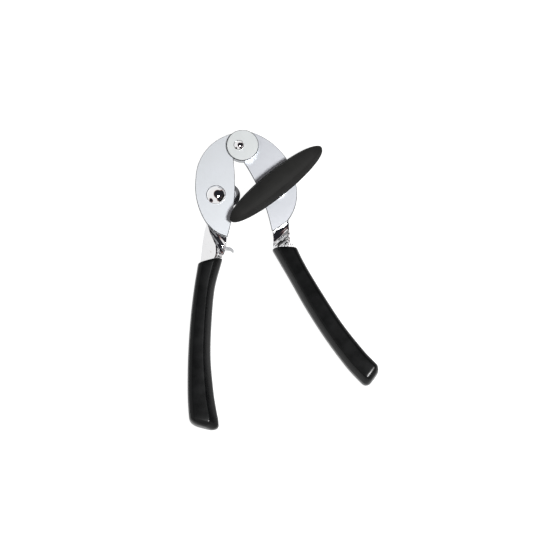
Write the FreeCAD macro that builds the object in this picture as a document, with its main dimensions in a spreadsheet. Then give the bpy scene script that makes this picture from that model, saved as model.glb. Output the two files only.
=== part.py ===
"""A pliers-style manual can opener: two handled jaw plates on one pivot rivet, a free-turning
cutter wheel on the left arm, and a toothed feed wheel with its turning knob on the right arm.

Frame, in millimetres: the pivot rivet's axis is Z, and Z = 0 is the flat back of that rivet.
+Z points to the knob's side, +Y away from the handles, +X to the right arm.
"""
import FreeCAD, Part
import math
import os

import Sketcher

Vec = FreeCAD.Vector

SIZES = {
    # heights of the stack along the pivot axis
    "right_plate_z": 2.25,
    "left_plate_z": 5.2,
    "plate_thickness": 2.5,
    "plate_edge_chamfer": 0.3,
    # pivot
    "pivot_shank_radius": 3.0,
    "running_clearance": 0.05,
    "pivot_back_head_radius": 6.5,
    "pivot_back_head_height": 1.6,
    "pivot_front_dome_radius": 3.3,
    "pivot_front_dome_height": 1.7,
    "cover_disc_radius": 10.4,
    "cover_disc_thickness": 1.8,
    "cover_disc_offset_x": 2.4,
    "cover_disc_offset_y": 0.0,
    "cover_disc_chamfer": 0.4,
    "pivot_washer_radius": 8.0,
    "back_washer_thickness": 0.6,
    "friction_washer_thickness": 0.4,
    # dome rivet and cutter wheel
    "dome_x": -14.6,
    "dome_y": -32.7,
    "dome_radius": 6.25,
    "dome_height": 3.2,
    "dome_shank_radius": 3.0,
    "dome_tail_radius": 3.9,
    "dome_tail_height": 1.5,
    "cutter_x": -7.4,
    "cutter_y": -30.2,
    "cutter_radius": 8.2,
    "cutter_flat_radius": 5.6,
    "cutter_thickness": 1.9,
    "cutter_edge_land": 0.2,
    "cutter_z": -3.57,
    "carrier_thickness": 3.2,
    "carrier_end_radius": 4.9,
    "axle_shoulder_radius": 3.6,
    "axle_pin_radius": 2.6,
    "axle_root_radius": 2.8,
    "axle_tail_radius": 4.4,
    "axle_tail_height": 0.9,
    "cutter_washer_thickness": 0.5,
    # knob shaft and feed wheel
    "feed_x": 24.0,
    "feed_y": -26.9,
    "feed_wheel_radius": 13.2,
    "feed_wheel_thickness": 3.0,
    "feed_wheel_z": -1.25,
    "feed_teeth": 36,
    "feed_tooth_depth": 1.2,
    "feed_square": 5.6,
    "thrust_washer_radius": 7.0,
    "thrust_washer_thickness": 0.4,
    "shaft_radius": 4.0,
    "bush_radius": 5.6,
    "bush_flange_radius": 6.9,
    "bush_flange_height": 2.2,
    "screw_head_radius": 4.5,
    "screw_head_height": 1.6,
    "screw_shank_radius": 1.5,
    "screw_shank_length": 7.0,
    "screw_slot_width": 1.0,
    "screw_slot_depth": 0.7,
    # knob
    "knob_angle": 40.0,
    "knob_length": 76.0,
    "knob_width": 17.6,
    "knob_height": 9.2,
    "knob_tip_height": 5.2,
    "knob_z": 11.8,
    "knob_side_slope": 2.6,
    "key_length": 46.0,
    "key_width": 6.0,
    "key_height": 4.0,
    "key_cover": 1.5,
    "key_boss_radius": 6.6,
    # handles
    "grip_bottom_z": -5.0,
    "grip_top_z": 9.0,
    "grip_waist_width": 12.9,
    "grip_facet_width": 3.8,
    "grip_facet_height": 6.0,
    "grip_corner": 1.1,
    "grip_end_radius": 4.5,
    "tang_width": 7.0,
    "tang_thickness": 5.0,
    "neck_screw_radius": 1.5,
    "neck_screw_head_radius": 2.8,
    "neck_screw_head_height": 1.2,
    "neck_screw_depth": 1.6,
    # cap lifter
    "tab_thickness": 0.8,
    "tab_width": 6.0,
    "tab_z": -2.0,
}

document = FreeCAD.newDocument("can_opener")
sheet = document.addObject("Spreadsheet::Sheet", "Sizes")


def fill_sheet():
    """Write each driving size into the sheet, under its own name."""
    for row, (name, value) in enumerate(SIZES.items(), start=1):
        sheet.set(f"A{row}", name)
        sheet.set(f"B{row}", str(value))
        sheet.setAlias(f"B{row}", name)
    document.recompute()


def size(name):
    """Read one driving size back from the sheet."""
    return float(sheet.get(name))


# ---------------------------------------------------------------- primitives and booleans

def cylinder(name, radius, height, bottom="0"):
    """A cylinder on the Z axis whose sizes are expressions over the sheet."""
    solid = document.addObject("Part::Cylinder", name)
    solid.setExpression("Radius", radius)
    solid.setExpression("Height", height)
    solid.setExpression("Placement.Base.z", bottom)
    return solid


def cone(name, low_radius, high_radius, height, bottom):
    """A frustum on the Z axis."""
    solid = document.addObject("Part::Cone", name)
    solid.setExpression("Radius1", low_radius)
    solid.setExpression("Radius2", high_radius)
    solid.setExpression("Height", height)
    solid.setExpression("Placement.Base.z", bottom)
    return solid


def box(name, length, width, height, bottom):
    """A box centred on the Z axis, standing on the given level."""
    solid = document.addObject("Part::Box", name)
    solid.setExpression("Length", length)
    solid.setExpression("Width", width)
    solid.setExpression("Height", height)
    solid.setExpression("Placement.Base.x", f"-({length}) / 2")
    solid.setExpression("Placement.Base.y", f"-({width}) / 2")
    solid.setExpression("Placement.Base.z", bottom)
    return solid


def dome(name, radius, height, bottom):
    """A spherical cap of the given rim radius and height, standing on a level."""
    ball_radius = f"(({radius})^2 + ({height})^2) / (2 * ({height}))"
    ball = document.addObject("Part::Sphere", name + "_ball")
    ball.setExpression("Radius", ball_radius)
    ball.setExpression("Placement.Base.z", f"({bottom}) + ({height}) - ({ball_radius})")
    rim = cylinder(name + "_rim", radius, f"({height}) + 1", bottom)
    cap = document.addObject("Part::Common", name)
    cap.Base = ball
    cap.Tool = rim
    return cap


def fuse(name, solids):
    """One solid from several that touch or overlap."""
    result = document.addObject("Part::MultiFuse", name)
    result.Shapes = solids
    result.Refine = True
    return result


def cut(name, base, tool):
    """The base with the tool taken away."""
    result = document.addObject("Part::Cut", name)
    result.Base = base
    result.Tool = tool
    return result


def place(solid, x, y):
    """Move a finished piece from the Z axis to its own axis."""
    solid.setExpression("Placement.Base.x", x)
    solid.setExpression("Placement.Base.y", y)
    return solid


def ring(name, radius, bore, height, bottom):
    """A flat washer."""
    outside = cylinder(name + "_outside", radius, height, bottom)
    inside = cylinder(name + "_bore", bore, height, bottom)
    return cut(name, outside, inside)


# ---------------------------------------------------------------- sketches

def origin_plane(body, role):
    """One of a body's own origin planes."""
    return next(item for item in body.Origin.OriginFeatures if item.Role == role)


def flat_sketch(body, name, level):
    """An empty sketch parallel to the XY plane at a level given as an expression."""
    sketch = body.newObject("Sketcher::SketchObject", name)
    sketch.AttachmentSupport = [(origin_plane(body, "XY_Plane"), "")]
    sketch.MapMode = "FlatFace"
    sketch.setExpression("AttachmentOffset.Base.z", level)
    return sketch


def circle_sketch(body, name, level, x, y, radius):
    """A sketch of one circle whose centre and radius follow the sheet."""
    sketch = flat_sketch(body, name, level)
    sketch.addGeometry(Part.Circle(Vec(1, 1, 0), Vec(0, 0, 1), 1), False)
    centre = 3
    sides = (("DistanceX", x), ("DistanceY", y))
    for kind, expression in sides:
        index = sketch.addConstraint(Sketcher.Constraint(kind, 0, centre, 1.0))
        sketch.setExpression(f"Constraints[{index}]", expression)
    index = sketch.addConstraint(Sketcher.Constraint("Radius", 0, 1.0))
    sketch.setExpression(f"Constraints[{index}]", radius)
    return sketch


def pocket(body, name, sketch, depth=None):
    """Cut a sketch upwards into the body: to a depth, or right through."""
    before = body.Tip
    hole = body.newObject("PartDesign::Pocket", name)
    hole.Profile = sketch
    hole.Reversed = True
    if depth is None:
        hole.Type = "ThroughAll"
    else:
        hole.setExpression("Length", depth)
    body.Tip = hole
    document.recompute()
    if hole.Shape.Volume >= before.Shape.Volume - 0.1:
        raise ValueError(f"{name} cuts nothing")
    return hole


def line(start, end):
    return Part.LineSegment(Vec(*start, 0), Vec(*end, 0))


def arc(start, middle, end):
    return Part.Arc(Vec(*start, 0), Vec(*middle, 0), Vec(*end, 0))


# ---------------------------------------------------------------- jaw plates

LEFT_TOP = (-1.0, 8.9)
LEFT_SIDE = (-27.7, -21.0)
LEFT_HEEL = (-21.6, -50.0)
LEFT_TOE = (-7.2, -60.5)
LEFT_THROAT = (-3.6, -8.0)

RIGHT_TOP = (5.0, 8.9)
RIGHT_SHOULDER = (8.4, 10.1)
RIGHT_SIDE = (36.9, -25.1)
RIGHT_HEEL = (30.9, -49.7)
RIGHT_TOE = (22.3, -56.0)
RIGHT_TOE_INNER = (21.2, -55.2)
RIGHT_THROAT = (3.1, -9.8)

HINGE_END = (11.5, -1.0)
HINGE_END_LEFT = (-7.5, -1.0)

LEFT_SCREWS = [(-17.2, -46.5), (-10.4, -51.2)]
RIGHT_SCREWS = [(24.6, -46.0), (28.6, -43.6)]


def left_plate_outline():
    """The crescent, round its hinge end, its outer bow, its toe and its inner edge."""
    return [
        arc(LEFT_TOP, (-19.3, -0.6), LEFT_SIDE),
        arc(LEFT_SIDE, (-27.1, -35.8), LEFT_HEEL),
        arc(LEFT_HEEL, (-15.2, -56.8), LEFT_TOE),
        arc(LEFT_TOE, (-2.5, -29.0), LEFT_THROAT),
        arc(LEFT_THROAT, HINGE_END, LEFT_TOP),
    ]


def right_plate_outline():
    """The other crescent: a longer shoulder, and a straight toe."""
    return [
        line(RIGHT_TOP, RIGHT_SHOULDER),
        arc(RIGHT_SHOULDER, (26.6, -2.2), RIGHT_SIDE),
        arc(RIGHT_SIDE, (36.6, -38.4), RIGHT_HEEL),
        line(RIGHT_HEEL, RIGHT_TOE),
        line(RIGHT_TOE, RIGHT_TOE_INNER),
        arc(RIGHT_TOE_INNER, (14.6, -32.4), RIGHT_THROAT),
        arc(RIGHT_THROAT, HINGE_END_LEFT, RIGHT_TOP),
    ]


def front_edges(shape, level):
    """Names of a plate's front edges, except those that the cover disc hides."""
    names = []
    hidden = size("cover_disc_radius") + size("cover_disc_offset_x")
    for number, edge in enumerate(shape.Edges, start=1):
        in_front = all(abs(vertex.Z - level) < 1e-6 for vertex in edge.Vertexes)
        middle = edge.valueAt((edge.FirstParameter + edge.LastParameter) / 2)
        if in_front and math.hypot(middle.x, middle.y) > hidden:
            names.append(f"Edge{number}")
    return names


def jaw_plate(name, outline, level, holes, screws):
    """A plate with an eased front edge, through holes and blind screw holes."""
    body = document.addObject("PartDesign::Body", name)
    profile = flat_sketch(body, name + "_profile", f"Sizes.{level}")
    profile.addGeometry(outline, False)
    pad = body.newObject("PartDesign::Pad", name + "_pad")
    pad.Profile = profile
    pad.setExpression("Length", "Sizes.plate_thickness")
    document.recompute()
    front = size(level) + size("plate_thickness")
    ease = body.newObject("PartDesign::Chamfer", name + "_edge")
    ease.Base = (pad, front_edges(pad.Shape, front))
    ease.setExpression("Size", "Sizes.plate_edge_chamfer")
    body.Tip = ease
    document.recompute()
    for number, (x, y, radius) in enumerate(holes, start=1):
        sketch = circle_sketch(body, f"{name}_hole_{number}", f"Sizes.{level}", x, y, radius)
        pocket(body, f"{name}_bore_{number}", sketch)
    for number, (x, y) in enumerate(screws, start=1):
        sketch = circle_sketch(
            body, f"{name}_screw_{number}", f"Sizes.{level}",
            f"{x}", f"{y}", "Sizes.neck_screw_radius")
        pocket(body, f"{name}_blind_{number}", sketch, "Sizes.neck_screw_depth")
    return body


def jaw_plates():
    left = jaw_plate(
        "left_jaw_plate", left_plate_outline(), "left_plate_z",
        [("0", "0", "Sizes.pivot_shank_radius"),
         ("Sizes.dome_x", "Sizes.dome_y", "Sizes.dome_shank_radius")],
        LEFT_SCREWS)
    right = jaw_plate(
        "right_jaw_plate", right_plate_outline(), "right_plate_z",
        [("0", "0", "Sizes.pivot_shank_radius + Sizes.running_clearance"),
         ("Sizes.feed_x", "Sizes.feed_y", "Sizes.bush_radius")],
        RIGHT_SCREWS)
    return [left, right]


# ---------------------------------------------------------------- pivot

def pivot_pieces():
    """The rivet through both plates, its two washers and the cover disc on the front."""
    washer_z = "Sizes.pivot_back_head_height"
    friction_z = "Sizes.left_plate_z - Sizes.friction_washer_thickness"
    disc_z = "Sizes.left_plate_z + Sizes.plate_thickness"
    front_z = f"{disc_z} + Sizes.cover_disc_thickness"
    back = cylinder(
        "pivot_back_rim", "Sizes.pivot_back_head_radius",
        "Sizes.pivot_back_head_height - 0.4", "0.4")
    lead = cone(
        "pivot_back_ease", "Sizes.pivot_back_head_radius - 0.4",
        "Sizes.pivot_back_head_radius", "0.4", "0")
    shank = cylinder("pivot_shank", "Sizes.pivot_shank_radius", front_z)
    head = dome(
        "pivot_front_head", "Sizes.pivot_front_dome_radius",
        "Sizes.pivot_front_dome_height", front_z)
    rivet = fuse("pivot_rivet", [back, lead, shank, head])

    back_washer = ring(
        "pivot_back_washer", "Sizes.pivot_washer_radius", "Sizes.pivot_shank_radius",
        "Sizes.back_washer_thickness", washer_z)
    friction_washer = ring(
        "pivot_friction_washer", "Sizes.pivot_washer_radius", "Sizes.pivot_shank_radius",
        "Sizes.friction_washer_thickness", friction_z)

    flat = cylinder(
        "cover_disc_body", "Sizes.cover_disc_radius",
        "Sizes.cover_disc_thickness - Sizes.cover_disc_chamfer", disc_z)
    rim = cone(
        "cover_disc_rim", "Sizes.cover_disc_radius",
        "Sizes.cover_disc_radius - Sizes.cover_disc_chamfer",
        "Sizes.cover_disc_chamfer", f"{front_z} - Sizes.cover_disc_chamfer")
    blank = place(
        fuse("cover_disc_blank", [flat, rim]),
        "Sizes.cover_disc_offset_x", "Sizes.cover_disc_offset_y")
    bore = cylinder(
        "cover_disc_bore", "Sizes.pivot_shank_radius", "Sizes.cover_disc_thickness", disc_z)
    disc = cut("pivot_cover_disc", blank, bore)
    return [rivet, back_washer, friction_washer, disc]


# ---------------------------------------------------------------- cutter wheel

def stadium(name, height, bottom):
    """The carrier's outline: two round ends joined by a bar."""
    reach_x = "(Sizes.cutter_x - Sizes.dome_x)"
    reach_y = "(Sizes.cutter_y - Sizes.dome_y)"
    span = f"sqrt({reach_x}^2 + {reach_y}^2)"
    near = cylinder(name + "_near", "Sizes.carrier_end_radius", height, bottom)
    far = cylinder(name + "_far", "Sizes.carrier_end_radius", height, bottom)
    far.setExpression("Placement.Base.x", span)
    bar = document.addObject("Part::Box", name + "_bar")
    bar.setExpression("Length", span)
    bar.setExpression("Width", "2 * Sizes.carrier_end_radius")
    bar.setExpression("Height", height)
    bar.setExpression("Placement.Base.y", "-Sizes.carrier_end_radius")
    bar.setExpression("Placement.Base.z", bottom)
    link = place(fuse(name, [near, far, bar]), "Sizes.dome_x", "Sizes.dome_y")
    link.Placement.Rotation = FreeCAD.Rotation(Vec(0, 0, 1), 1)
    link.setExpression("Placement.Rotation.Angle", f"atan2({reach_y}; {reach_x})")
    return link


def cutter_pieces():
    """The dome rivet clamps a carrier link, whose far end holds the cutter's axle."""
    plate_z = "Sizes.left_plate_z"
    front_z = f"{plate_z} + Sizes.plate_thickness"
    carrier_z = f"{plate_z} - Sizes.carrier_thickness"
    tail_z = f"{carrier_z} - Sizes.dome_tail_height"
    wheel_z = "Sizes.cutter_z"
    wheel_top = "Sizes.cutter_z + Sizes.cutter_thickness"
    play = "0.03"

    head = dome("dome_rivet_head", "Sizes.dome_radius", "Sizes.dome_height", front_z)
    shank = cylinder(
        "dome_rivet_shank", "Sizes.dome_shank_radius", f"{front_z} - ({tail_z})", tail_z)
    tail = cylinder(
        "dome_rivet_tail", "Sizes.dome_tail_radius", "Sizes.dome_tail_height", tail_z)
    rivet = place(
        fuse("dome_rivet", [head, shank, tail]), "Sizes.dome_x", "Sizes.dome_y")

    link = stadium("carrier_blank", "Sizes.carrier_thickness", carrier_z)
    rivet_bore = place(
        cylinder("carrier_rivet_bore", "Sizes.dome_shank_radius",
                 "Sizes.carrier_thickness", carrier_z),
        "Sizes.dome_x", "Sizes.dome_y")
    axle_bore = place(
        cylinder("carrier_axle_bore", "Sizes.axle_root_radius",
                 "Sizes.carrier_thickness", carrier_z),
        "Sizes.cutter_x", "Sizes.cutter_y")
    bores = document.addObject("Part::MultiFuse", "carrier_bores")
    bores.Shapes = [rivet_bore, axle_bore]
    carrier = cut("cutter_carrier", link, bores)

    washer_z = f"{wheel_z} - {play} - Sizes.cutter_washer_thickness"
    end_z = f"{washer_z} - Sizes.axle_tail_height"
    root = cylinder(
        "axle_root", "Sizes.axle_root_radius", "Sizes.carrier_thickness", carrier_z)
    shoulder = cylinder(
        "axle_shoulder", "Sizes.axle_shoulder_radius",
        f"{carrier_z} - ({wheel_top} + {play})", f"{wheel_top} + {play}")
    pin = cylinder(
        "axle_pin", "Sizes.axle_pin_radius", f"{carrier_z} - ({end_z})", end_z)
    end = cylinder("axle_end", "Sizes.axle_tail_radius", "Sizes.axle_tail_height", end_z)
    axle = place(
        fuse("cutter_axle", [root, shoulder, pin, end]), "Sizes.cutter_x", "Sizes.cutter_y")

    bevel = "(Sizes.cutter_thickness - Sizes.cutter_edge_land) / 2"
    low = cone(
        "cutter_low_bevel", "Sizes.cutter_flat_radius", "Sizes.cutter_radius",
        bevel, wheel_z)
    land = cylinder(
        "cutter_land", "Sizes.cutter_radius", "Sizes.cutter_edge_land",
        f"{wheel_z} + {bevel}")
    high = cone(
        "cutter_high_bevel", "Sizes.cutter_radius", "Sizes.cutter_flat_radius",
        bevel, f"{wheel_z} + {bevel} + Sizes.cutter_edge_land")
    blank = fuse("cutter_blank", [low, land, high])
    bore = cylinder(
        "cutter_bore", "Sizes.axle_pin_radius + Sizes.running_clearance",
        "Sizes.cutter_thickness", wheel_z)
    wheel = place(cut("cutter_wheel", blank, bore), "Sizes.cutter_x", "Sizes.cutter_y")

    washer = place(
        ring("cutter_washer", "Sizes.axle_tail_radius", "Sizes.axle_pin_radius",
             "Sizes.cutter_washer_thickness", washer_z),
        "Sizes.cutter_x", "Sizes.cutter_y")
    return [rivet, carrier, axle, wheel, washer]


# ---------------------------------------------------------------- knob shaft and feed wheel

def feed_wheel():
    """A toothed wheel: a disc with V grooves round its rim and a square bore."""
    body = document.addObject("PartDesign::Body", "feed_wheel")
    rim = circle_sketch(
        body, "feed_wheel_rim", "Sizes.feed_wheel_z", "0", "0",
        "Sizes.feed_wheel_radius")
    pad = body.newObject("PartDesign::Pad", "feed_wheel_pad")
    pad.Profile = rim
    pad.setExpression("Length", "Sizes.feed_wheel_thickness")
    body.Tip = pad
    document.recompute()

    outer = size("feed_wheel_radius")
    depth = size("feed_tooth_depth")
    half_pitch = math.pi * outer / size("feed_teeth")
    groove = flat_sketch(body, "feed_wheel_groove", "Sizes.feed_wheel_z")
    root = (outer - depth, 0)
    crest = outer + 0.4
    spread = half_pitch * 0.8
    groove.addGeometry([
        line(root, (crest, spread)),
        line((crest, spread), (crest, -spread)),
        line((crest, -spread), root),
    ], False)
    first = pocket(body, "feed_wheel_first_groove", groove)
    teeth = body.newObject("PartDesign::PolarPattern", "feed_wheel_teeth")
    teeth.Originals = [first]
    teeth.Axis = (rim, ["N_Axis"])
    teeth.Angle = 360
    teeth.setExpression("Occurrences", "Sizes.feed_teeth")
    body.Tip = teeth
    document.recompute()

    half = size("feed_square") / 2
    square = flat_sketch(body, "feed_wheel_square", "Sizes.feed_wheel_z")
    corners = [(half, half), (-half, half), (-half, -half), (half, -half)]
    square.addGeometry(
        [line(corners[i - 1], corners[i]) for i in range(len(corners))], False)
    pocket(body, "feed_wheel_bore", square)
    return place(body, "Sizes.feed_x", "Sizes.feed_y")


def shaft_pieces():
    """The bush in the right plate, and the shaft, washer and screw that turn in it."""
    plate_z = "Sizes.right_plate_z"
    front_z = f"{plate_z} + Sizes.plate_thickness"
    wheel_z = "Sizes.feed_wheel_z"
    wheel_top = "Sizes.feed_wheel_z + Sizes.feed_wheel_thickness"

    sleeve = cylinder("bush_sleeve", "Sizes.bush_radius", "Sizes.plate_thickness", plate_z)
    flange = cylinder(
        "bush_flange", "Sizes.bush_flange_radius", "Sizes.bush_flange_height", front_z)
    bush_bore = cylinder(
        "bush_bore", "Sizes.shaft_radius + Sizes.running_clearance",
        "Sizes.plate_thickness + Sizes.bush_flange_height", plate_z)
    bush = place(
        cut("shaft_bush", fuse("bush_blank", [sleeve, flange]), bush_bore),
        "Sizes.feed_x", "Sizes.feed_y")

    key_top = "Sizes.knob_z + Sizes.key_height"
    journal = cylinder("shaft_journal", "Sizes.shaft_radius", f"{key_top} - ({wheel_top})",
                       wheel_top)
    square = box("shaft_square", "Sizes.feed_square", "Sizes.feed_square",
                 "Sizes.feed_wheel_thickness", wheel_z)
    screw_hole = cylinder(
        "shaft_screw_hole", "Sizes.screw_shank_radius", "Sizes.screw_shank_length", wheel_z)
    shaft = place(
        cut("drive_shaft", fuse("shaft_blank", [journal, square]), screw_hole),
        "Sizes.feed_x", "Sizes.feed_y")

    washer = place(
        ring("thrust_washer", "Sizes.thrust_washer_radius", "Sizes.shaft_radius",
             "Sizes.thrust_washer_thickness", wheel_top),
        "Sizes.feed_x", "Sizes.feed_y")

    head_z = f"{wheel_z} - Sizes.screw_head_height"
    head = cylinder("screw_head", "Sizes.screw_head_radius", "Sizes.screw_head_height", head_z)
    shank = cylinder(
        "screw_shank", "Sizes.screw_shank_radius", "Sizes.screw_shank_length", wheel_z)
    slot = box("screw_slot", "2 * Sizes.screw_head_radius + 1", "Sizes.screw_slot_width",
               "Sizes.screw_slot_depth", head_z)
    screw = place(
        cut("feed_wheel_screw", fuse("screw_blank", [head, shank]), slot),
        "Sizes.feed_x", "Sizes.feed_y")
    return [bush, shaft, washer, screw]


# ---------------------------------------------------------------- lofted pieces

def rounded_wire(points, corner):
    """A closed wire through 3-D points, with each corner eased over a distance."""
    count = len(points)
    ease_in = []
    ease_out = []
    for index, point in enumerate(points):
        before = points[index - 1] - point
        after = points[(index + 1) % count] - point
        ease_in.append(point + before.normalize() * corner)
        ease_out.append(point + after.normalize() * corner)
    edges = []
    for index, point in enumerate(points):
        curve = Part.BezierCurve()
        curve.setPoles([ease_in[index], point, ease_out[index]])
        edges.append(curve.toShape())
        straight = Part.LineSegment(ease_out[index], ease_in[(index + 1) % count])
        edges.append(straight.toShape())
    return Part.Wire(edges)


def loft(wires):
    """A closed solid through a row of matching wires."""
    solid = Part.makeLoft(wires, True, False)
    if solid.Volume < 0:
        solid.reverse()
    return solid


def feature(name, shape):
    """Keep a made shape as an object of the document."""
    item = document.addObject("Part::Feature", name)
    item.Shape = shape
    return item


def knob_section(along, half_width, height, corner):
    """One slice of the knob: flat below, leaning sides, a low crowned top."""
    lean = size("knob_side_slope") * half_width / (size("knob_width") / 2)
    shoulder = 0.72 * height
    outline = [
        (-half_width, 0),
        (half_width, 0),
        (half_width, 0.16 * height),
        (half_width - lean, shoulder),
        (0.3 * half_width, height),
        (-0.3 * half_width, height),
        (lean - half_width, shoulder),
        (-half_width, 0.16 * height),
    ]
    bottom = size("knob_z")
    return rounded_wire([Vec(along, y, bottom + z) for y, z in outline], corner)


def knob_pieces():
    """The long oval knob, and the steel key that drives it from inside."""
    half_length = size("knob_length") / 2
    half_width = size("knob_width") / 2
    rise = size("knob_height") - size("knob_tip_height")
    slices = 13
    wires = []
    for index in range(slices):
        turn = math.pi * (index + 0.45) / (slices - 0.1)
        across = math.sin(turn)
        wires.append(knob_section(
            -half_length * math.cos(turn) / math.cos(math.pi * 0.45 / (slices - 0.1)),
            half_width * across ** 0.92,
            size("knob_tip_height") * min(1.0, 0.55 + across) + rise * across ** 2,
            0.09 * half_width * across))
    boss = Part.makeCylinder(size("key_boss_radius"), size("key_height"))
    bar = Part.makeBox(
        size("key_length"), size("key_width"), size("key_height") - size("key_cover"))
    bar.translate(Vec(-size("key_length") / 2, -size("key_width") / 2, size("key_cover")))
    key = boss.fuse(bar)
    key.translate(Vec(0, 0, size("knob_z")))
    hole = Part.makeCylinder(
        size("shaft_radius"), size("key_height"), Vec(0, 0, size("knob_z")))
    shell = loft(wires).cut(key.fuse(hole))
    pieces = [feature("knob", shell), feature("knob_key", key.cut(hole))]
    for piece in pieces:
        piece.setExpression("Placement.Base.x", "Sizes.feed_x")
        piece.setExpression("Placement.Base.y", "Sizes.feed_y")
        piece.Placement.Rotation = FreeCAD.Rotation(Vec(0, 0, 1), 1)
        piece.setExpression("Placement.Rotation.Angle", "Sizes.knob_angle")
    return pieces


class Handle:
    """Where one handle runs: its middle line, its width, and the slant of its two ends."""

    def __init__(self, rows, mouth_lead, end_lead, inward):
        curve = Part.BSplineCurve()
        curve.interpolate([Vec(x, y, 0) for x, y, _ in rows])
        self.curve = curve
        self.shares = [
            curve.length(curve.FirstParameter, curve.parameter(Vec(x, y, 0))) / curve.length()
            for x, y, _ in rows]
        self.widths = [width for _, _, width in rows]
        self.mouth_lead = mouth_lead
        self.end_lead = end_lead
        self.inward = inward

    def at(self, share):
        """The middle point at a share of the length, and the step across, inwards.

        Near the mouth and near the end the step also leads along the handle, so the
        slice there is slanted while the handle's true width stays as given."""
        parameter = self.curve.parameterAtDistance(
            share * self.curve.length(), self.curve.FirstParameter)
        tangent = self.curve.tangent(parameter)[0]
        across = Vec(-tangent.y, tangent.x, 0) * self.inward
        near_mouth = max(0.0, 1 - share / 0.10)
        near_end = max(0.0, (share - 0.75) / 0.25)
        lead = self.mouth_lead * near_mouth + self.end_lead * near_end
        return self.curve.value(parameter), across + tangent * lead

    def width(self, share):
        """The width between the two nearest given widths."""
        for index in range(1, len(self.shares)):
            if share <= self.shares[index] or index == len(self.shares) - 1:
                span = self.shares[index] - self.shares[index - 1]
                local = (share - self.shares[index - 1]) / span
                start, stop = self.widths[index - 1], self.widths[index]
                return start + (stop - start) * local


LEFT_HANDLE = Handle(
    [(-18.2, -75.6, 14.2), (-21.7, -92.0, 12.9), (-23.9, -114.0, 13.4),
     (-24.9, -138.0, 14.2), (-24.1, -160.0, 16.2), (-22.6, -174.1, 17.6),
     (-20.7, -184.9, 18.6)],
    mouth_lead=-0.55, end_lead=0.47, inward=1)
RIGHT_HANDLE = Handle(
    [(29.4, -67.3, 14.0), (37.7, -82.9, 12.9), (48.75, -102.4, 13.5),
     (60.9, -121.7, 13.7), (73.7, -138.5, 14.1), (80.3, -146.0, 14.1),
     (86.6, -152.3, 14.2)],
    mouth_lead=-0.53, end_lead=0.16, inward=-1)


def grip_section(centre, across, width, inset):
    """One slice of a grip: flat back, plain outer side, a broad facet on the inner side."""
    low = size("grip_bottom_z") - 0.6 + inset
    high = size("grip_top_z") - inset
    half = width / 2 - inset
    facet = size("grip_facet_width") * half / (size("grip_waist_width") / 2)
    drop = size("grip_facet_height") * (high - low) / 14
    outline = [
        (-half + 1.8, low),
        (half - 1.8, low),
        (half, low + 0.18 * (high - low)),
        (half, high - drop),
        (half - facet, high - 0.5),
        (-half + 2.4, high),
        (-half, high - 0.22 * (high - low)),
        (-half, low + 0.2 * (high - low)),
    ]
    points = [centre + across * u + Vec(0, 0, z) for u, z in outline]
    return rounded_wire(points, size("grip_corner") * min(1.0, half / 5))


def below_rest_plane(handle):
    """A block under the level that the tool lies on, wide enough for one grip."""
    centre, _ = handle.at(0.5)
    reach = handle.curve.length() + 2 * size("grip_waist_width")
    depth = 5
    block = Part.makeBox(reach, reach, depth)
    block.translate(Vec(
        centre.x - reach / 2, centre.y - reach / 2, size("grip_bottom_z") - depth))
    return block


def grip_loft(handle):
    """The grip's full outer shape, from its slanted mouth to its rounded end."""
    stations = (0.0, 0.015, 0.10, 0.25, 0.45, 0.65, 0.82, 0.93, 0.97, 0.99, 1.0)
    round_from = 0.955
    wires = []
    for share in stations:
        centre, across = handle.at(share)
        step = max(0.0, (share - round_from) / (1 - round_from))
        inset = size("grip_end_radius") * (1 - math.sqrt(max(0.0, 1 - (0.97 * step) ** 2)))
        if share == 0.0:
            inset = 0.6
        wires.append(grip_section(centre, across, handle.width(share), inset))
    return loft(wires).cut(below_rest_plane(handle))


def neck_section(outer, inner, low, outer_top, ridge_share, ridge_top, inner_top):
    """One slice of a neck: flat back, two sloping front facets that meet in a ridge."""
    start = Vec(*outer, 0)
    finish = Vec(*inner, 0)
    ridge = start + (finish - start) * ridge_share
    points = [
        start + Vec(0, 0, low),
        finish + Vec(0, 0, low),
        finish + Vec(0, 0, inner_top),
        ridge + Vec(0, 0, ridge_top),
        start + Vec(0, 0, outer_top),
    ]
    return rounded_wire(points, 0.6)


def tang(handle):
    """The flat bar that runs on from the neck down the middle of the grip."""
    low = 2.0 - size("tang_thickness") / 2
    wires = []
    for share in (0.02, 0.2, 0.4, 0.6):
        centre, across = handle.at(share)
        half = size("tang_width") / 2
        outline = [(-half, 0), (half, 0), (half, size("tang_thickness")),
                   (-half, size("tang_thickness"))]
        wires.append(rounded_wire(
            [centre + across * u + Vec(0, 0, low + z) for u, z in outline], 0.5))
    return loft(wires)


def root_section(handle, share):
    """The neck's last slice, just inside the grip's mouth."""
    centre, across = handle.at(share)
    half = handle.width(share) / 2 - 1.8
    outer = centre - across * half
    inner = centre + across * half
    return (outer.x, outer.y), (inner.x, inner.y)


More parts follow.
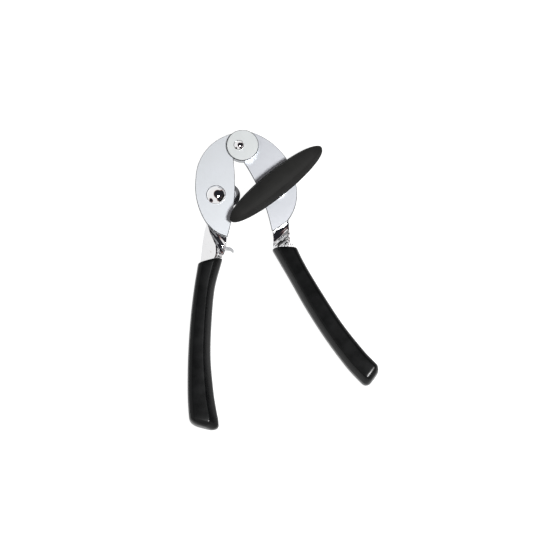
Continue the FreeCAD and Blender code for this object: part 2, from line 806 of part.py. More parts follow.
def handle_pieces(side, handle, slices, plate_level, screws):
    """A neck with its tang, the grip moulded over it, and the neck's screws."""
    outer, inner = root_section(handle, 0.03)
    wires = [neck_section(*row) for row in slices]
    wires.append(neck_section(
        outer, inner, size("grip_bottom_z") + 1.6, 5.0, 0.5, 7.0, 3.0))
    neck = loft(wires).fuse(tang(handle))
    top = size(plate_level)
    low = slices[0][2]
    fasteners = []
    for x, y in screws:
        hole = Part.makeCylinder(size("neck_screw_radius"), top - low + 2, Vec(x, y, low - 1))
        seat = Part.makeCylinder(size("neck_screw_head_radius"), 9, Vec(x, y, low - 9))
        neck = neck.cut(hole).cut(seat)
        shank = Part.makeCylinder(
            size("neck_screw_radius"), top - low + size("neck_screw_depth"), Vec(x, y, low))
        head = Part.makeCylinder(
            size("neck_screw_head_radius"), size("neck_screw_head_height"),
            Vec(x, y, low - size("neck_screw_head_height")))
        fasteners.append(shank.fuse(head).removeSplitter())
    grip = grip_loft(handle).cut(neck)
    return [
        feature(f"{side}_neck", neck.removeSplitter()),
        feature(f"{side}_grip", grip),
        feature(f"{side}_neck_screws", Part.makeCompound(fasteners)),
    ]


def cap_lifter():
    """A thin curved tooth that stands out of the left neck's inner edge."""
    body = document.addObject("PartDesign::Body", "cap_lifter_tab")
    sketch = flat_sketch(body, "cap_lifter_profile", "Sizes.tab_z")
    root_low, root_high = (-10.4, -67.5), (-10.4, -66.7)
    bend_low, bend_high = (-5.9, -67.4), (-5.7, -66.6)
    tip_low, tip_high = (-3.8, -69.1), (-3.2, -68.6)
    sketch.addGeometry([
        arc(root_low, (-8.2, -67.3), bend_low),
        arc(bend_low, (-4.7, -68.1), tip_low),
        line(tip_low, tip_high),
        arc(tip_high, (-4.2, -67.4), bend_high),
        arc(bend_high, (-8.1, -66.4), root_high),
        line(root_high, root_low),
    ], False)
    pad = body.newObject("PartDesign::Pad", "cap_lifter_pad")
    pad.Profile = sketch
    pad.setExpression("Length", "Sizes.tab_width")
    body.Tip = pad
    document.recompute()
    return body


LEFT_NECK = [
    # outer point, inner point, back level, outer top, ridge share, ridge top, inner top
    ((-20.3, -43.5), (-7.2, -47.5), 1.2, 5.2, 0.25, 5.2, 5.2),
    ((-21.3, -50.5), (-7.6, -58.5), 0.6, 4.5, 0.18, 4.5, 4.3),
    ((-23.2, -62.0), (-7.8, -64.4), -2.0, 4.8, 0.22, 6.0, 3.6),
    ((-25.0, -77.0), (-10.0, -72.8), -4.2, 5.6, 0.57, 7.9, 2.6),
]
RIGHT_NECK = [
    ((31.6, -40.5), (21.0, -47.5), -0.8, 2.25, 0.5, 2.25, 2.25),
    ((31.1, -49.0), (21.6, -55.0), -1.2, 1.4, 0.5, 1.4, 1.4),
    ((33.2, -59.5), (21.3, -61.0), -3.0, 2.6, 0.45, 4.4, 2.0),
    ((36.2, -67.8), (22.3, -67.0), -4.2, 4.8, 0.6, 7.4, 3.0),
]


def build():
    """Make every sub-part, then check and export each."""
    fill_sheet()
    pieces = jaw_plates() + pivot_pieces() + cutter_pieces() + [feed_wheel()]
    pieces += shaft_pieces() + knob_pieces()
    tab = cap_lifter()
    left = handle_pieces("left", LEFT_HANDLE, LEFT_NECK, "left_plate_z", LEFT_SCREWS)
    right = handle_pieces("right", RIGHT_HANDLE, RIGHT_NECK, "right_plate_z", RIGHT_SCREWS)
    left[0].Shape = left[0].Shape.cut(tab.Shape)
    pieces += left + right + [tab]
    document.recompute()
    return pieces


def export(pieces):
    """Refuse any failed object, then write one STEP file per sub-part."""
    for item in document.Objects:
        if "Invalid" in item.State or "Error" in item.State:
            raise ValueError(f"{item.Name} failed: {item.State}")
    os.makedirs("parts", exist_ok=True)
    for piece in pieces:
        piece.Label = piece.Name
        shape = piece.Shape
        if shape.isNull() or not shape.isValid() or shape.Volume <= 0:
            raise ValueError(f"{piece.Name} has no valid shape")
        shape.exportStep(f"parts/{piece.Name}.step")
        print(f"{piece.Name:24s} {shape.Volume:9.1f} mm3, {len(shape.Solids)} solid(s)")


export(build())
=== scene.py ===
"""Looks of the manual can opener: finished surfaces, materials, light and camera, all built
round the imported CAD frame. Sizes are in millimetres unless a name says otherwise."""
import math

import bpy
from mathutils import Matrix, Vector

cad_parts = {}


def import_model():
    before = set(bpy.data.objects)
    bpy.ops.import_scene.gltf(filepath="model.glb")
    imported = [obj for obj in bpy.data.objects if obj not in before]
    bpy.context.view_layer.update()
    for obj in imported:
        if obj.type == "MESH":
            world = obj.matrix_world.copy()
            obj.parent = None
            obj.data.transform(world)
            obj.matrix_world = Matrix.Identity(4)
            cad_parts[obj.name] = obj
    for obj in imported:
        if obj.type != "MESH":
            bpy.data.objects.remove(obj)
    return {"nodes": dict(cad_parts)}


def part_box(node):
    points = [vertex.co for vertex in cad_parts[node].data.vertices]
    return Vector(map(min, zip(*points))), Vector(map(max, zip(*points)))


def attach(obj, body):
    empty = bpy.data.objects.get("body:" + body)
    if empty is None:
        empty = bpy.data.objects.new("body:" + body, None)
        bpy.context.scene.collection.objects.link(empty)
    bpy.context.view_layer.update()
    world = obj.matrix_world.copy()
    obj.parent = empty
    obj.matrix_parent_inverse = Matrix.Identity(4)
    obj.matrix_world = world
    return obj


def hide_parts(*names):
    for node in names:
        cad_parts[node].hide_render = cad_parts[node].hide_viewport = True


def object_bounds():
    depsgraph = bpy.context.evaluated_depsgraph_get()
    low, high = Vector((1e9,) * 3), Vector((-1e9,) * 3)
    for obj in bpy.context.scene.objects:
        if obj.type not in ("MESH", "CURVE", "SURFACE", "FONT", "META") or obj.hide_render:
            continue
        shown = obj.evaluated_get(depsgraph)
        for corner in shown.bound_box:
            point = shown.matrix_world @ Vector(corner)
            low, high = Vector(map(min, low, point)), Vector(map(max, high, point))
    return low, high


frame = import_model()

MM = 0.001
CAD_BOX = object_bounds()


# ---------------------------------------------------------------- frame measures

def low(node):
    """A CAD node's lowest corner, in millimetres."""
    return Vector(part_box(node)[0]) / MM


def high(node):
    """A CAD node's highest corner, in millimetres."""
    return Vector(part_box(node)[1]) / MM


def middle(node):
    """The middle of a CAD node's box, in millimetres."""
    return (low(node) + high(node)) / 2


# ---------------------------------------------------------------- mesh building

CREASE = 35.0  # degrees: a sharper turn than this is an edge


def mesh_object(name, points, faces, crease_angle=CREASE):
    """A new object from points in millimetres, smooth except across sharp angles."""
    mesh = bpy.data.meshes.new(name)
    mesh.from_pydata([tuple(Vector(point) * MM) for point in points], [], faces)
    mesh.validate()
    mesh.update()
    mesh.shade_smooth()
    mesh.set_sharp_from_angle(angle=math.radians(crease_angle))
    made = bpy.data.objects.new(name, mesh)
    bpy.context.scene.collection.objects.link(made)
    return made


def skin(name, rings, crease_angle=CREASE):
    """A closed skin over a row of rings with equal counts, capped at both ends."""
    count = len(rings[0])
    points = [point for ring in rings for point in ring]
    faces = []
    for row in range(len(rings) - 1):
        for step in range(count):
            here = row * count + step
            beside = row * count + (step + 1) % count
            faces.append((here, beside, beside + count, here + count))
    for row, flip in ((0, True), (len(rings) - 1, False)):
        ring = rings[row]
        hub = len(points)
        points.append(sum((Vector(point) for point in ring), Vector()) / count)
        for step in range(count):
            here = row * count + step
            beside = row * count + (step + 1) % count
            faces.append((beside, here, hub) if flip else (here, beside, hub))
    return mesh_object(name, points, faces, crease_angle)


def revolve(name, profile, centre):
    """Turn (radius, height) pairs about a vertical axis, capped where the pairs end."""
    segments = 128
    turns = [2 * math.pi * step / segments for step in range(segments)]
    return skin(name, [
        [(centre[0] + radius * math.cos(turn), centre[1] + radius * math.sin(turn), height)
         for turn in turns]
        for radius, height in profile])


def arc_profile(centre, radius, start, stop, steps):
    """(radius, height) pairs along an arc, angles in degrees from straight up."""
    pairs = []
    for step in range(steps + 1):
        angle = math.radians(start + (stop - start) * step / steps)
        pairs.append((centre[0] + radius * math.sin(angle),
                      centre[1] + radius * math.cos(angle)))
    return pairs


LONGEST_CUT = 0.45  # most of a side that one rounded corner may use up


def soft_polygon(corners, radii, bulges, corner_steps=5, side_steps=4):
    """A polygon with rounded corners and slightly bowed sides, as 2-D points."""
    count = len(corners)
    tangents = []
    for index in range(count):
        here = Vector(corners[index])
        back = Vector(corners[index - 1]) - here
        ahead = Vector(corners[(index + 1) % count]) - here
        cut = min(radii[index], LONGEST_CUT * back.length, LONGEST_CUT * ahead.length)
        tangents.append((here + back.normalized() * cut, here,
                         here + ahead.normalized() * cut))
    points = []
    for index, (start, corner, stop) in enumerate(tangents):
        for step in range(corner_steps + 1):
            share = step / corner_steps
            points.append(start * (1 - share) ** 2 + corner * 2 * share * (1 - share)
                          + stop * share ** 2)
        following = tangents[(index + 1) % count][0]
        side = following - stop
        outward = Vector((side.y, -side.x)).normalized()
        for step in range(1, side_steps):
            share = step / side_steps
            points.append(stop + side * share
                          + outward * bulges[index] * 4 * share * (1 - share))
    return points


def smooth_row(rows, share):
    """Catmull-Rom interpolation of a list of equal-length number rows, share from 0 to 1."""
    place = share * (len(rows) - 1)
    index = min(int(place), len(rows) - 2)
    local = place - index
    before = rows[max(index - 1, 0)]
    start = rows[index]
    stop = rows[index + 1]
    after = rows[min(index + 2, len(rows) - 1)]
    return [
        0.5 * (2 * b + (c - a) * local + (2 * a - 5 * b + 4 * c - d) * local ** 2
               + (3 * b - a - 3 * c + d) * local ** 3)
        for a, b, c, d in zip(before, start, stop, after)]


class MiddleLine:
    """A smooth flat line with a width, read by share of its length."""

    reach = 8  # samples on each side that the direction is taken over

    def __init__(self, rows):
        samples = 400
        smooth = [smooth_row(rows, step / samples) for step in range(samples + 1)]
        self.points = [Vector((x, y)) for x, y, _ in smooth]
        self.widths = [width for _, _, width in smooth]
        self.lengths = [0.0]
        for before, after in zip(self.points, self.points[1:]):
            self.lengths.append(self.lengths[-1] + (after - before).length)

    def at(self, share):
        """The point, the unit direction and the width at a share of the length."""
        goal = share * self.lengths[-1]
        index = next((i for i, length in enumerate(self.lengths) if length >= goal),
                     len(self.lengths) - 1)
        index = max(index, 1)
        start, stop = self.points[index - 1], self.points[index]
        span = self.lengths[index] - self.lengths[index - 1]
        local = (goal - self.lengths[index - 1]) / span
        near = self.points[max(index - self.reach, 0)]
        far = self.points[min(index + self.reach, len(self.points) - 1)]
        return start + (stop - start) * local, (far - near).normalized(), self.widths[index]


# ---------------------------------------------------------------- materials

# Painted shade for edges: a dark colour on rounded rims and a grey on side walls, in place of
# dark reflections.
RIM_PAINTED_SHADE = (0.02, 0.022, 0.025)
WALL_PAINTED_SHADE = (0.30, 0.31, 0.32)
RIM_RANGE = (0.93, 0.99)   # how upright a face's normal is where the rim fades into the face
WALL_RANGE = (0.15, 0.30)  # and where the cut wall fades into the rim
MIX_BELOW, MIX_ABOVE, MIX_RESULT = 6, 7, 2  # the colour sockets of a Mix node


def set_stops(ramp, stops):
    """Fill a colour ramp with (position, colour) pairs."""
    elements = ramp.color_ramp.elements
    while len(elements) < len(stops):
        elements.new(0.5)
    for element, (position, colour) in zip(elements, stops):
        element.position = position
        element.color = (*colour, 1)


class Finish:
    """A procedural material under construction."""

    def __init__(self, name, metallic=0.0, specular=0.5):
        self.material = bpy.data.materials.new(name)
        self.material.use_nodes = True
        self.tree = self.material.node_tree
        self.shader = self.tree.nodes["Principled BSDF"]
        self.shader.inputs["Metallic"].default_value = metallic
        self.shader.inputs["Specular IOR Level"].default_value = specular

    def node(self, kind, **inputs):
        made = self.tree.nodes.new(kind)
        for key, value in inputs.items():
            made.inputs[key.replace("_", " ")].default_value = value
        return made

    def link(self, source, target):
        self.tree.links.new(source, target)

    def place(self, scale=(1, 1, 1), centre=(0, 0, 0), turn=0.0):
        """Object coordinates in millimetres, moved to a centre, turned and scaled."""
        where = self.node("ShaderNodeTexCoord")
        mapping = self.node("ShaderNodeMapping")
        mapping.vector_type = "TEXTURE"
        mapping.inputs["Location"].default_value = Vector(centre) * MM
        mapping.inputs["Rotation"].default_value = (0, 0, math.radians(turn))
        mapping.inputs["Scale"].default_value = [MM / factor for factor in scale]
        self.link(where.outputs["Object"], mapping.inputs["Vector"])
        return mapping.outputs["Vector"]

    def noise(self, vector, scale, detail):
        made = self.node("ShaderNodeTexNoise", Scale=scale, Detail=detail, Roughness=0.55)
        self.link(vector, made.inputs["Vector"])
        return made.outputs["Fac"]

    def rings(self, centre, scale):
        """Noise that changes only with the distance from a vertical axis."""
        place = self.place(centre=centre)
        flat = self.node("ShaderNodeVectorMath")
        flat.operation = "MULTIPLY"
        flat.inputs[1].default_value = (1, 1, 0)
        self.link(place, flat.inputs[0])
        distance = self.node("ShaderNodeVectorMath")
        distance.operation = "LENGTH"
        self.link(flat.outputs["Vector"], distance.inputs[0])
        made = self.node("ShaderNodeTexNoise", Scale=scale, Detail=4.0)
        made.noise_dimensions = "1D"
        self.link(distance.outputs["Value"], made.inputs["W"])
        return made.outputs["Fac"]

    def spread(self, factor, lowest, highest, inner=(0.3, 0.7)):
        """A value stretched from its inner range to a range of numbers, and held there."""
        made = self.node("ShaderNodeMapRange")
        made.inputs["From Min"].default_value = inner[0]
        made.inputs["From Max"].default_value = inner[1]
        made.inputs["To Min"].default_value = lowest
        made.inputs["To Max"].default_value = highest
        self.link(factor, made.inputs["Value"])
        return made.outputs["Result"]

    def colours(self, factor, first, second):
        """Base colour between two colours by a noise value."""
        made = self.node("ShaderNodeValToRGB")
        set_stops(made, ((0.3, first), (0.7, second)))
        self.link(factor, made.inputs["Fac"])
        self.base(made.outputs["Color"])
        return made.outputs["Color"]

    def over(self, factor, below, above):
        """One colour laid over another by a factor from 0 to 1."""
        made = self.node("ShaderNodeMix")
        made.data_type = "RGBA"
        self.link(factor, made.inputs["Factor"])
        for socket, value in ((made.inputs[MIX_BELOW], below), (made.inputs[MIX_ABOVE], above)):
            if isinstance(value, tuple):
                socket.default_value = (*value, 1)
            else:
                self.link(value, socket)
        return made.outputs[MIX_RESULT]

    def base(self, colour):
        self.link(colour, self.shader.inputs["Base Color"])

    def painted_edge_shade(self, colour):
        """Painted shade on the edges: a dark line round the rolled rim and duller grey on the
        cut wall, both standing in for dark reflections.
        """
        faces = self.node("ShaderNodeNewGeometry")
        parts = self.node("ShaderNodeSeparateXYZ")
        self.link(faces.outputs["Normal"], parts.inputs[0])
        upright = self.node("ShaderNodeMath")
        upright.operation = "ABSOLUTE"
        self.link(parts.outputs["Z"], upright.inputs[0])
        # Painted shade: upright faces keep the given colour, the rim takes the dark colour, the
        # side walls the grey.
        wall_shade_mask = self.spread(upright.outputs["Value"], 1.0, 0.0, inner=WALL_RANGE)
        rim_shade_mask = self.spread(upright.outputs["Value"], 1.0, 0.0, inner=RIM_RANGE)
        self.base(self.over(rim_shade_mask, colour, self.over(wall_shade_mask, RIM_PAINTED_SHADE, WALL_PAINTED_SHADE)))

    def roughness(self, factor, lowest, highest):
        self.link(self.spread(factor, lowest, highest), self.shader.inputs["Roughness"])

    def bump(self, *layers):
        """Bump from (height, strength, distance in millimetres) layers."""
        normal = None
        for height, strength, distance in layers:
            made = self.node("ShaderNodeBump", Strength=strength, Distance=distance * MM)
            self.link(height, made.inputs["Height"])
            if normal is not None:
                self.link(normal, made.inputs["Normal"])
            normal = made.outputs["Normal"]
        self.link(normal, self.shader.inputs["Normal"])


def satin_steel(name, colour, darker, turn=0.0):
    """Fine satin steel: even grain, faint straight brushing, painted shade on the rolled edges.
    """
    finish = Finish(name, metallic=1.0)
    clouds = finish.noise(finish.place(), 0.05, detail=2.0)
    grain = finish.noise(finish.place(), 3.0, detail=4.0)
    brushing = finish.noise(finish.place(scale=(0.12, 3.0, 1.0), turn=turn), 2.2, detail=5.0)
    # Painted shade on the rims and walls over the clouded steel colour.
    finish.painted_edge_shade(finish.colours(clouds, darker, colour))
    finish.roughness(grain, 0.35, 0.42)
    finish.bump((grain, 0.10, 0.02), (brushing, 0.06, 0.02))
    return finish.material


def turned_steel(name, colour, darker, centre):
    """Satin steel with fine circular marks about its own axis."""
    finish = Finish(name, metallic=1.0)
    clouds = finish.noise(finish.place(), 0.08, detail=2.0)
    marks = finish.rings(centre, 5.0)
    grain = finish.noise(finish.place(), 4.0, detail=3.0)
    # Painted shade on the rims and walls over the clouded steel colour.
    finish.painted_edge_shade(finish.colours(clouds, darker, colour))
    finish.roughness(grain, 0.35, 0.43)
    finish.bump((marks, 0.10, 0.02), (grain, 0.06, 0.01))
    return finish.material


def chrome(name, forged_turn=None):
    """Mirror chrome with faint handling haze, and forging ripples along a direction."""
    colour = (0.92, 0.92, 0.93)
    hazed = tuple(0.97 * part for part in colour)
    finish = Finish(name, metallic=1.0)
    haze = finish.noise(finish.place(), 0.25, detail=4.0)
    finish.roughness(haze, 0.03, 0.08)
    finish.colours(haze, colour, hazed)
    if forged_turn is not None:
        drawn_out = finish.place(scale=(0.10, 1.0, 1.0), turn=forged_turn)
        ripples = finish.noise(drawn_out, 0.45, detail=1.0)
        finish.bump((ripples, 0.75, 0.9))
    return finish.material


def rubber(name):
    """Black rubber with a low, slightly uneven sheen and a fine even tooth."""
    finish = Finish(name, specular=0.17)
    tooth = finish.noise(finish.place(), 6.0, detail=3.0)
    clouds = finish.noise(finish.place(), 0.12, detail=3.0)
    finish.colours(clouds, (0.0010, 0.0011, 0.0012), (0.0018, 0.0020, 0.0021))
    finish.roughness(clouds, 0.26, 0.32)
    finish.bump((tooth, 0.25, 0.03))
    return finish.material


def plastic(name):
    """Black moulded plastic with a matt spark-eroded texture."""
    finish = Finish(name, specular=0.05)
    tooth = finish.noise(finish.place(), 4.0, detail=3.0)
    clouds = finish.noise(finish.place(), 0.10, detail=2.0)
    finish.colours(clouds, (0.0078, 0.0078, 0.0075), (0.0106, 0.0106, 0.0102))
    finish.roughness(clouds, 0.58, 0.66)
    finish.bump((tooth, 0.18, 0.02))
    return finish.material


def nylon(name):
    """Natural nylon of the friction washer."""
    finish = Finish(name)
    clouds = finish.noise(finish.place(), 0.5, detail=2.0)
    finish.colours(clouds, (0.70, 0.68, 0.60), (0.76, 0.74, 0.67))
    finish.roughness(clouds, 0.40, 0.50)
    return finish.material


DISC = middle("pivot_cover_disc")
CUTTER = middle("cutter_wheel")
FEED = middle("feed_wheel")

LEFT_STEEL = satin_steel("left_plate_satin", (0.78, 0.81, 0.85), (0.76, 0.79, 0.82), 80)
RIGHT_STEEL = satin_steel("right_plate_satin", (0.70, 0.72, 0.76), (0.67, 0.69, 0.73), 115)
DISC_STEEL = turned_steel("disc_satin", (0.78, 0.81, 0.81), (0.74, 0.77, 0.77), DISC)
CUTTER_STEEL = turned_steel("cutter_ground", (0.80, 0.80, 0.82), (0.72, 0.72, 0.75), CUTTER)
FEED_STEEL = turned_steel("feed_ground", (0.58, 0.58, 0.60), (0.54, 0.54, 0.56), FEED)
ZINC = satin_steel("zinc_plate", (0.66, 0.67, 0.70), (0.62, 0.63, 0.65))
TAB_STEEL = satin_steel("tab_steel", (0.42, 0.42, 0.44), (0.34, 0.34, 0.36), 30)
CHROME = chrome("mirror_chrome")
LEFT_CHROME = chrome("left_neck_chrome", -52)
RIGHT_CHROME = chrome("right_neck_chrome", 42)
RUBBER = rubber("black_rubber")
PLASTIC = plastic("black_plastic")
NYLON = nylon("natural_nylon")


def dress(node, material, edge=0.0):
    """Give a CAD node its material, and ease its edges by a small radius."""
    shown = frame["nodes"][node]
    shown.data.materials.clear()
    shown.data.materials.append(material)
    if edge:
        ease = shown.modifiers.new("edge_ease", "BEVEL")
        ease.width = edge * MM
        ease.segments = 3
        ease.limit_method = "ANGLE"
        ease.angle_limit = math.radians(CREASE)
        ease.harden_normals = True


def adopt(piece, node, body, material):
    """A new piece stands for a CAD node: its body and its material."""
    piece.data.materials.append(material)
    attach(piece, body)
    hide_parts(node)
    return piece


# ---------------------------------------------------------------- grips and necks

GRIP_LOW = low("left_grip").z
GRIP_HIGH = 9.0
WAIST = 12.9  # the narrowest width, where a facet has its given width

# Middle lines: x, y and width at points from the mouth to the end.

LEFT_LINE = MiddleLine([
    (-18.2, -75.6, 14.2), (-21.7, -92.0, 12.9), (-23.9, -114.0, 13.4),
    (-24.9, -138.0, 14.2), (-24.1, -160.0, 16.2), (-22.6, -174.1, 17.6),
    (-20.7, -184.9, 18.6)])
RIGHT_LINE = MiddleLine([
    (29.4, -67.3, 14.0), (37.7, -82.9, 12.9), (48.75, -102.4, 13.5),
    (60.9, -121.7, 13.8), (73.5, -138.7, 14.5), (80.1, -146.2, 14.7),
    (86.35, -152.5, 14.8)])


def grip_ring(centre, across, width, inset, facet_width, trim):
    """One ring of a grip: flat back, plain outer side, broad facet on the inner side.
    The inner side is pulled in by the trim."""
    bottom = GRIP_LOW + inset
    top = GRIP_HIGH - inset
    half = width / 2 - inset
    tall = top - bottom
    facet = facet_width * half / (WAIST / 2)
    inner = half - trim
    corners = [
        (-half + 1.6, bottom), (inner - 1.6, bottom), (inner, bottom + 0.16 * tall),
        (inner, top - 0.42 * tall), (inner - facet, top - 0.3), (-half + 2.0, top),
        (-half, top - 0.2 * tall), (-half, bottom + 0.18 * tall)]
    scale = min(1.0, half / 5)
    radii = [value * scale for value in (1.6, 1.6, 1.6, 1.5, 1.0, 1.8, 1.8, 1.8)]
    bulges = [value * scale for value in (0.0, 0.05, 0.1, 0.12, 0.1, 0.1, 0.1, 0.05)]
    return [(centre.x + across.x * u, centre.y + across.y * u, z)
            for u, z in soft_polygon(corners, radii, bulges)]


def grip(name, line, mouth_lead, end_lead, inward, facet_width, end_trim):
    """A grip from its slanted mouth, with a rolled lip, to its rounded end."""
    end_radius, end_share, end_rings = 4.5, 0.043, 13
    lip_radius, lip_start, lip_share, lip_rings = 0.6, 0.0005, 0.005, 5
    body_start, body_rings = lip_start + lip_share, 60
    trim_start, trim_run, body_trim = 0.92, 0.037, 0.2
    full_turn = end_rings - 0.6  # the last ring stops just short of the tip
    plan = [(0.010, 2.2, 0.0), (0.005, 2.0, 0.0), (0.001, 1.2, 0.0)]
    for step in range(lip_rings):
        turn = step / (lip_rings - 1)
        plan.append((lip_start + lip_share * turn,
                     lip_radius * (1 - math.sin(turn * math.pi / 2)), 0.0))
    for step in range(1, body_rings):
        share = body_start + (1 - end_share - body_start) * step / body_rings
        trimmed = max(0.0, (share - trim_start) / trim_run) ** 2
        plan.append((share, 0.0, end_trim * body_trim * trimmed))
    for step in range(end_rings):
        angle = math.pi / 2 * step / full_turn
        plan.append((1 - end_share + end_share * math.sin(angle),
                     end_radius * (1 - math.cos(angle)),
                     end_trim * (body_trim + (1 - body_trim) * math.sin(angle) ** 2)))
    rings = []
    for share, inset, trim in plan:
        centre, direction, width = line.at(share)
        across = Vector((-direction.y, direction.x)) * inward
        near_mouth = max(0.0, 1 - share / 0.10)
        near_end = max(0.0, (share - 0.75) / 0.25)
        across += direction * (mouth_lead * near_mouth + end_lead * near_end)
        ring = grip_ring(centre, across, width, inset, facet_width, trim)
        rings.append(ring if inward > 0 else ring[::-1])
    return skin(name, rings, crease_angle=50)


adopt(grip("left_grip_moulded", LEFT_LINE, mouth_lead=-0.55, end_lead=0.47, inward=1,
           facet_width=3.9, end_trim=2.6),
      "left_grip", "left_arm", RUBBER)
adopt(grip("right_grip_moulded", RIGHT_LINE, mouth_lead=-0.53, end_lead=0.16, inward=-1,
           facet_width=2.8, end_trim=0.0),
      "right_grip", "right_arm", RUBBER)


def neck(name, rows, flip):
    """A twisted chrome neck: two front facets meet in a ridge that wanders across."""
    rings = []
    steps = 36
    for step in range(steps + 1):
        (outer_x, outer_y, inner_x, inner_y, bottom, outer_top, share, ridge_top,
         inner_top) = smooth_row(rows, step / steps)
        outer = Vector((outer_x, outer_y))
        inner = Vector((inner_x, inner_y))
        across = (inner - outer).normalized()
        width = (inner - outer).length
        corners = [(0, bottom), (width, bottom), (width, inner_top),
                   (share * width, ridge_top), (0, outer_top)]
        radii = (0.8, 0.8, 0.9, 0.7, 0.9)
        bulges = (0.0, 0.1, -0.05, 0.05, 0.1)
        ring = [(outer.x + across.x * u, outer.y + across.y * u, z)
                for u, z in soft_polygon(corners, radii, bulges, 4, 6)]
        rings.append(ring[::-1] if flip else ring)
    return skin(name, rings, crease_angle=40)


LEFT_NECK = [
    # outer x, y, inner x, y, back, outer top, ridge share, ridge top, inner top
    (-20.3, -43.5, -7.2, -47.5, 1.2, 4.4, 0.06, 5.0, 5.0),
    (-21.4, -50.0, -7.7, -63.5, 0.6, 4.0, 0.08, 4.9, 4.8),
    (-23.4, -62.0, -8.6, -68.5, -1.5, 3.0, 0.60, 6.8, 2.2),
    (-25.0, -77.0, -10.2, -72.8, -4.2, 3.9, 0.68, 7.5, 2.5),
    (-25.2, -80.5, -13.4, -77.5, -4.0, 3.9, 0.64, 7.0, 2.2),
]
RIGHT_NECK = [
    (31.6, -40.5, 21.0, -47.5, -0.8, 1.9, 0.06, 2.2, 2.2),
    (32.6, -52.2, 21.8, -62.2, -1.2, 1.4, 0.08, 2.0, 1.9),
    (34.4, -60.5, 21.5, -64.6, -3.0, 2.4, 0.19, 5.2, 1.8),
    (36.2, -67.8, 22.5, -67.0, -4.2, 3.3, 0.31, 7.6, 2.3),
    (37.4, -71.5, 26.4, -71.5, -4.0, 3.3, 0.31, 7.0, 2.0),
]
adopt(neck("left_neck_polished", LEFT_NECK, False), "left_neck", "left_arm", LEFT_CHROME)
adopt(neck("right_neck_polished", RIGHT_NECK, True), "right_neck", "right_arm", RIGHT_CHROME)


# ---------------------------------------------------------------- knob

def knob():
    """The long oval knob: leaning sides, a soft crease, a low crowned top."""
    bottom = low("knob").z
    angle = math.radians(40.0)
    along = Vector((math.cos(angle), math.sin(angle)))
    across = Vector((-along.y, along.x))
    half_length, half_width, height, tip_height = 38.0, 8.8, 9.1, 5.2
    blunt = 0.012  # share of the half turn left off at each tip
    rings = []
    steps = 56
    for step in range(steps + 1):
        turn = math.pi * (blunt + (1 - 2 * blunt) * step / steps)
        reach = -half_length * math.cos(turn) / math.cos(math.pi * blunt)
        swell = math.sin(turn)
        half = half_width * swell ** 0.92
        top = tip_height * min(1.0, 0.35 + 1.1 * swell) + (height - tip_height) * swell ** 2
        lean = 2.7 * half / half_width
        corners = [
            (-half * 0.94, 0), (half * 0.94, 0), (half, 0.16 * top),
            (half - lean, 0.87 * top), (0.3 * half, top), (-0.3 * half, top),
            (lean - half, 0.87 * top), (-half, 0.16 * top)]
        scale = max(0.05, half / half_width)
        radii = [value * scale for value in (0.8, 0.8, 1.4, 1.0, 3.0, 3.0, 1.0, 1.4)]
        bulges = [value * scale for value in (0, 0, 0.15, 0.05, 0.04, 0.05, 0.15, 0)]
        centre = Vector((FEED.x, FEED.y)) + along * reach
        rings.append([(centre.x + across.x * -u, centre.y + across.y * -u, bottom + z)
                      for u, z in soft_polygon(corners, radii, bulges)])
    return skin("knob_moulded", rings, crease_angle=60)


adopt(knob(), "knob", "knob", PLASTIC)


# ---------------------------------------------------------------- rivets, disc and bush

def domed_rivet(name, node, head_radius, head_low, rest):
    """A domed head over the rest of the rivet's profile, from the top down."""
    top = high(node).z
    rise = top - head_low
    ball = (head_radius ** 2 + rise ** 2) / (2 * rise)
    sweep = math.degrees(math.asin(head_radius / ball))
    profile = arc_profile((0, top - ball), ball, 0.2, sweep - 1.5, 30)
    profile += arc_profile((head_radius - 0.25, head_low + 0.22), 0.25, sweep, 150, 6)
    profile += rest
    return revolve(name, profile[::-1], middle(node))


def rivets():
    """The pivot rivet over the disc, and the large dome rivet on the left plate."""
    disc_top = high("pivot_cover_disc").z
    plate_top = high("left_jaw_plate").z
    back = low("pivot_rivet").z
    pivot = domed_rivet("pivot_rivet_turned", "pivot_rivet", 3.3, disc_top, [
        (2.99, disc_top), (2.99, back + 1.6), (6.3, back + 1.6), (6.5, back + 1.4),
        (6.5, back + 0.4), (6.35, back + 0.12), (6.1, back), (0.02, back)])
    adopt(pivot, "pivot_rivet", "left_arm", CHROME)
    tail = low("dome_rivet").z
    dome = domed_rivet("dome_rivet_turned", "dome_rivet", 6.25, plate_top, [
        (2.99, plate_top), (2.99, tail + 1.5), (4.3, tail + 1.5), (4.5, tail + 1.3),
        (4.5, tail + 0.3), (4.2, tail), (0.02, tail)])
    adopt(dome, "dome_rivet", "left_arm", CHROME)


rivets()

dress("left_jaw_plate", LEFT_STEEL, 0.5)
dress("right_jaw_plate", RIGHT_STEEL, 0.5)
dress("pivot_cover_disc", DISC_STEEL, 0.5)
dress("cap_lifter_tab", TAB_STEEL, 0.2)
dress("shaft_bush", CHROME, 0.3)
dress("cutter_wheel", CUTTER_STEEL)
dress("feed_wheel", FEED_STEEL, 0.08)
dress("drive_shaft", FEED_STEEL, 0.1)
dress("pivot_friction_washer", NYLON)
for plain in ("pivot_back_washer", "cutter_carrier", "cutter_axle", "cutter_washer",
              "thrust_washer", "feed_wheel_screw", "knob_key", "left_neck_screws",
              "right_neck_screws"):
    dress(plain, ZINC, 0.1)


# ---------------------------------------------------------------- camera, floor and light

FLOOR_GLOW = 0.95
FLOOR_GAP = 0.2  # under the lowest CAD face, so that the two never coincide
SURROUND = (  # from the middle of a dark card out to the open surround
    (0.0, (0.02, 0.02, 0.025)), (0.4, (0.28, 0.17, 0.16)),
    (0.75, (0.82, 0.72, 0.70)), (1.0, (1.0, 1.0, 1.0)))
DARK_CARDS = (  # direction, then inner and outer radius in degrees
    ((0.36, 0.16, 0.92), 38, 48),
    ((0.50, -0.60, 0.62), 12, 26),
    ((0.85, 0.40, 0.35), 18, 34),
    ((-0.708, -0.631, 0.315), 13, 22))


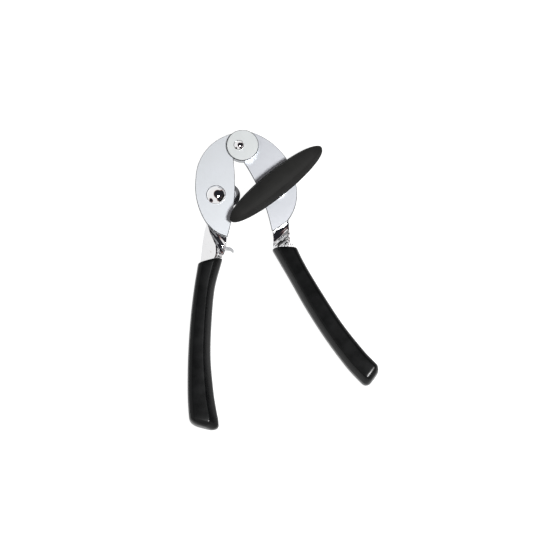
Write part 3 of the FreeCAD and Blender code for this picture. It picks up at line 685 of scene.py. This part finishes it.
def camera():
    """A long lens above the tool, leaning back towards the handles."""
    field = 352.0
    distance = 2500.0
    elevation = math.radians(75.5)
    target = Vector((23.3, -85.3, 5.0)) * MM
    data = bpy.data.cameras.new("camera")
    data.sensor_width = 36
    data.lens = 36 * distance / field
    made = bpy.data.objects.new("camera", data)
    bpy.context.scene.collection.objects.link(made)
    back = Vector((0, -math.cos(elevation), math.sin(elevation)))
    made.location = target + back * distance * MM
    made.rotation_euler = (-back).to_track_quat("-Z", "Y").to_euler()
    bpy.context.scene.camera = made


def floor():
    """A plain white sheet under the tool, lit from within like a light table."""
    level = CAD_BOX[0][2] / MM - FLOOR_GAP
    reach = 6000
    finish = Finish("white_floor", specular=0.0)
    finish.shader.inputs["Roughness"].default_value = 0.8
    paper = finish.noise(finish.place(), 0.02, detail=2.0)
    finish.colours(paper, (0.15, 0.15, 0.15), (0.16, 0.16, 0.16))
    finish.shader.inputs["Emission Color"].default_value = (1, 1, 1, 1)
    finish.shader.inputs["Emission Strength"].default_value = FLOOR_GLOW
    points = [(-reach, -reach, level), (reach, -reach, level),
              (reach, reach, level), (-reach, reach, level)]
    made = mesh_object("floor", points, [(0, 1, 2, 3)])
    made.data.materials.append(finish.material)


def area_light(name, place, target, side, power):
    """A square lamp that faces its target; places and side in metres, power in watts."""
    data = bpy.data.lights.new(name, "AREA")
    data.shape = "SQUARE"
    data.size = side
    data.energy = power
    made = bpy.data.objects.new(name, data)
    bpy.context.scene.collection.objects.link(made)
    made.location = place
    made.rotation_euler = (Vector(target) - Vector(place)).to_track_quat("-Z", "Y").to_euler()


def world(strength, dark_cards):
    """A pale surround with soft dark cards, and plain white where the camera sees it."""
    made = bpy.data.worlds.new("studio")
    bpy.context.scene.world = made
    made.use_nodes = True
    tree = made.node_tree
    where = tree.nodes.new("ShaderNodeTexCoord")
    level = None
    for direction, inner, outer in dark_cards:
        facing = tree.nodes.new("ShaderNodeVectorMath")
        facing.operation = "DOT_PRODUCT"
        facing.inputs[1].default_value = Vector(direction).normalized()
        tree.links.new(where.outputs["Generated"], facing.inputs[0])
        fade = tree.nodes.new("ShaderNodeMapRange")
        fade.interpolation_type = "SMOOTHSTEP"
        fade.inputs["From Min"].default_value = math.cos(math.radians(inner))
        fade.inputs["From Max"].default_value = math.cos(math.radians(outer))
        tree.links.new(facing.outputs["Value"], fade.inputs["Value"])
        if level is None:
            level = fade.outputs["Result"]
        else:
            both = tree.nodes.new("ShaderNodeMath")
            both.operation = "MULTIPLY"
            tree.links.new(level, both.inputs[0])
            tree.links.new(fade.outputs["Result"], both.inputs[1])
            level = both.outputs["Value"]
    tint = tree.nodes.new("ShaderNodeValToRGB")
    set_stops(tint, SURROUND)
    tree.links.new(level, tint.inputs["Fac"])
    rays = tree.nodes.new("ShaderNodeLightPath")
    seen = tree.nodes.new("ShaderNodeMix")
    seen.data_type = "RGBA"
    tree.links.new(rays.outputs["Is Camera Ray"], seen.inputs["Factor"])
    tree.links.new(tint.outputs["Color"], seen.inputs[MIX_BELOW])
    seen.inputs[MIX_ABOVE].default_value = (1, 1, 1, 1)
    back = tree.nodes["Background"]
    back.inputs["Strength"].default_value = strength
    tree.links.new(seen.outputs[MIX_RESULT], back.inputs["Color"])


camera()
floor()
world(0.9, DARK_CARDS)
area_light("key", place=(0.58, -0.38, 1.44), target=(0.0, -0.08, 0), side=0.22, power=51)
bpy.context.scene.view_settings.view_transform = "Standard"
